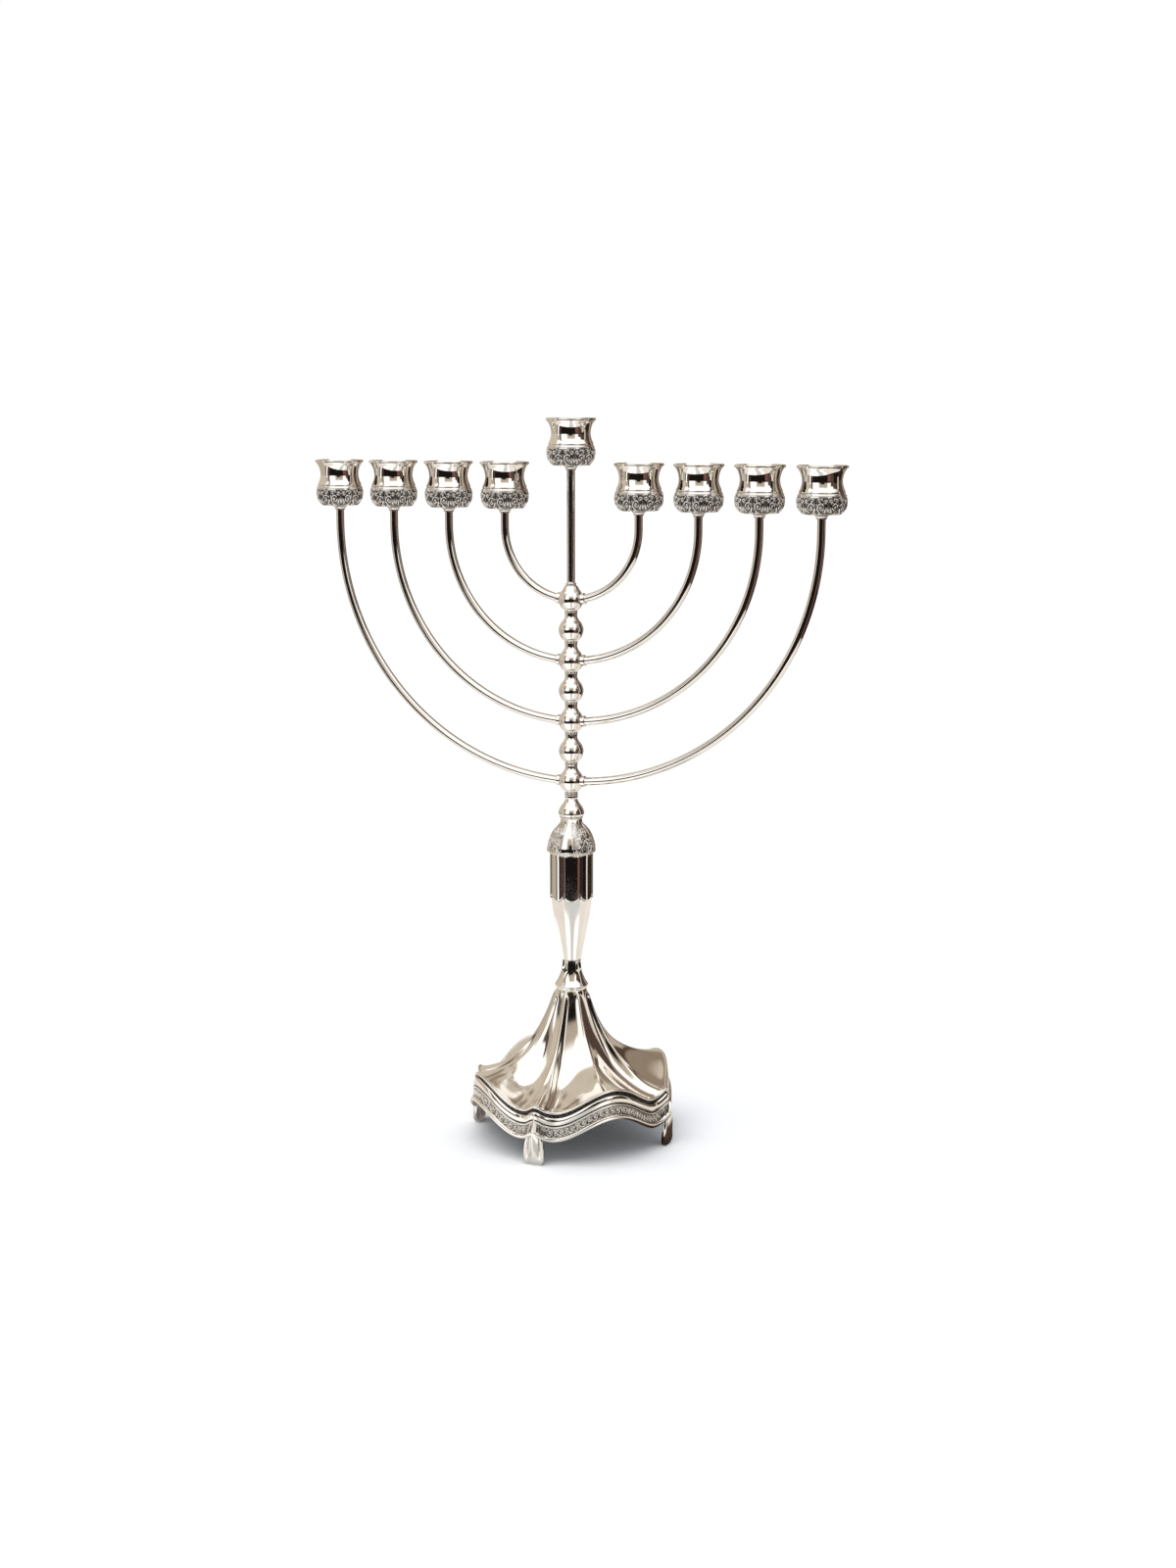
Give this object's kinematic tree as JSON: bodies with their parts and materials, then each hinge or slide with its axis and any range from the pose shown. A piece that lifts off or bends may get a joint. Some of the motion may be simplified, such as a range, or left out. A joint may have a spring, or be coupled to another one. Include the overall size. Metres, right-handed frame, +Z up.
{
  "type": "menorah",
  "caption": "Branched candelabrum with nested curved arms that swivel on a turned stem, flared candle cups with filigree bowls, and a fluted, wavy-edged four-footed base.",
  "frame": {"origin": "on the surface the feet stand on, under the stem", "axes": "+Z up along the stem, +X along the right-hand arms, +Y to the back"},
  "size_m": [0.3048, 0.1212, 0.4],
  "materials": {
    "bright_plate": "bright plated, mirror polished, slightly warm",
    "cast_plate": "bright plated casting, polished, with a dark patina in the relief",
    "oxidised_filigree": "plated filigree relief with oxidised recesses",
    "plated_steel": "plated drawn rod and fasteners"
  },
  "bodies": {
    "stand": {"base_casting": "cast_plate", "foot_right": "cast_plate", "foot_back": "cast_plate", "foot_left": "cast_plate", "foot_front": "cast_plate", "rod_washer": "plated_steel", "rod_nut": "plated_steel", "neck_ring": "bright_plate", "neck_flare": "bright_plate", "baluster": "bright_plate", "dome_cap": "bright_plate", "cap_ring": "bright_plate", "half_bead": "bright_plate", "spacer_bead_1": "bright_plate", "spacer_bead_2": "bright_plate", "spacer_bead_3": "bright_plate", "spacer_rings": "bright_plate", "through_rod": "plated_steel", "ferrule_middle": "bright_plate", "bowl_middle": "oxidised_filigree", "cup_middle": "bright_plate"},
    "arm_pair_1": {"knop_1": "bright_plate", "arm_1_left": "bright_plate", "ferrule_1_left": "bright_plate", "bowl_1_left": "oxidised_filigree", "cup_1_left": "bright_plate", "arm_1_right": "bright_plate", "ferrule_1_right": "bright_plate", "bowl_1_right": "oxidised_filigree", "cup_1_right": "bright_plate"},
    "arm_pair_2": {"knop_2": "bright_plate", "arm_2_left": "bright_plate", "ferrule_2_left": "bright_plate", "bowl_2_left": "oxidised_filigree", "cup_2_left": "bright_plate", "arm_2_right": "bright_plate", "ferrule_2_right": "bright_plate", "bowl_2_right": "oxidised_filigree", "cup_2_right": "bright_plate"},
    "arm_pair_3": {"knop_3": "bright_plate", "arm_3_left": "bright_plate", "ferrule_3_left": "bright_plate", "bowl_3_left": "oxidised_filigree", "cup_3_left": "bright_plate", "arm_3_right": "bright_plate", "ferrule_3_right": "bright_plate", "bowl_3_right": "oxidised_filigree", "cup_3_right": "bright_plate"},
    "arm_pair_4": {"knop_4": "bright_plate", "arm_4_left": "bright_plate", "ferrule_4_left": "bright_plate", "bowl_4_left": "oxidised_filigree", "cup_4_left": "bright_plate", "arm_4_right": "bright_plate", "ferrule_4_right": "bright_plate", "bowl_4_right": "oxidised_filigree", "cup_4_right": "bright_plate"}
  },
  "joints": [
    {"name": "arm_pair_1_swivel", "type": "hinge", "parent": "stand", "child": "arm_pair_1", "pos_m": [0, 0, 0.3026], "axis": [0, 0, 1], "continuous": true},
    {"name": "arm_pair_2_swivel", "type": "hinge", "parent": "stand", "child": "arm_pair_2", "pos_m": [0, 0, 0.2692], "axis": [0, 0, 1], "continuous": true},
    {"name": "arm_pair_3_swivel", "type": "hinge", "parent": "stand", "child": "arm_pair_3", "pos_m": [0, 0, 0.2358], "axis": [0, 0, 1], "continuous": true},
    {"name": "arm_pair_4_swivel", "type": "hinge", "parent": "stand", "child": "arm_pair_4", "pos_m": [0, 0, 0.2024], "axis": [0, 0, 1], "continuous": true}
  ]
}
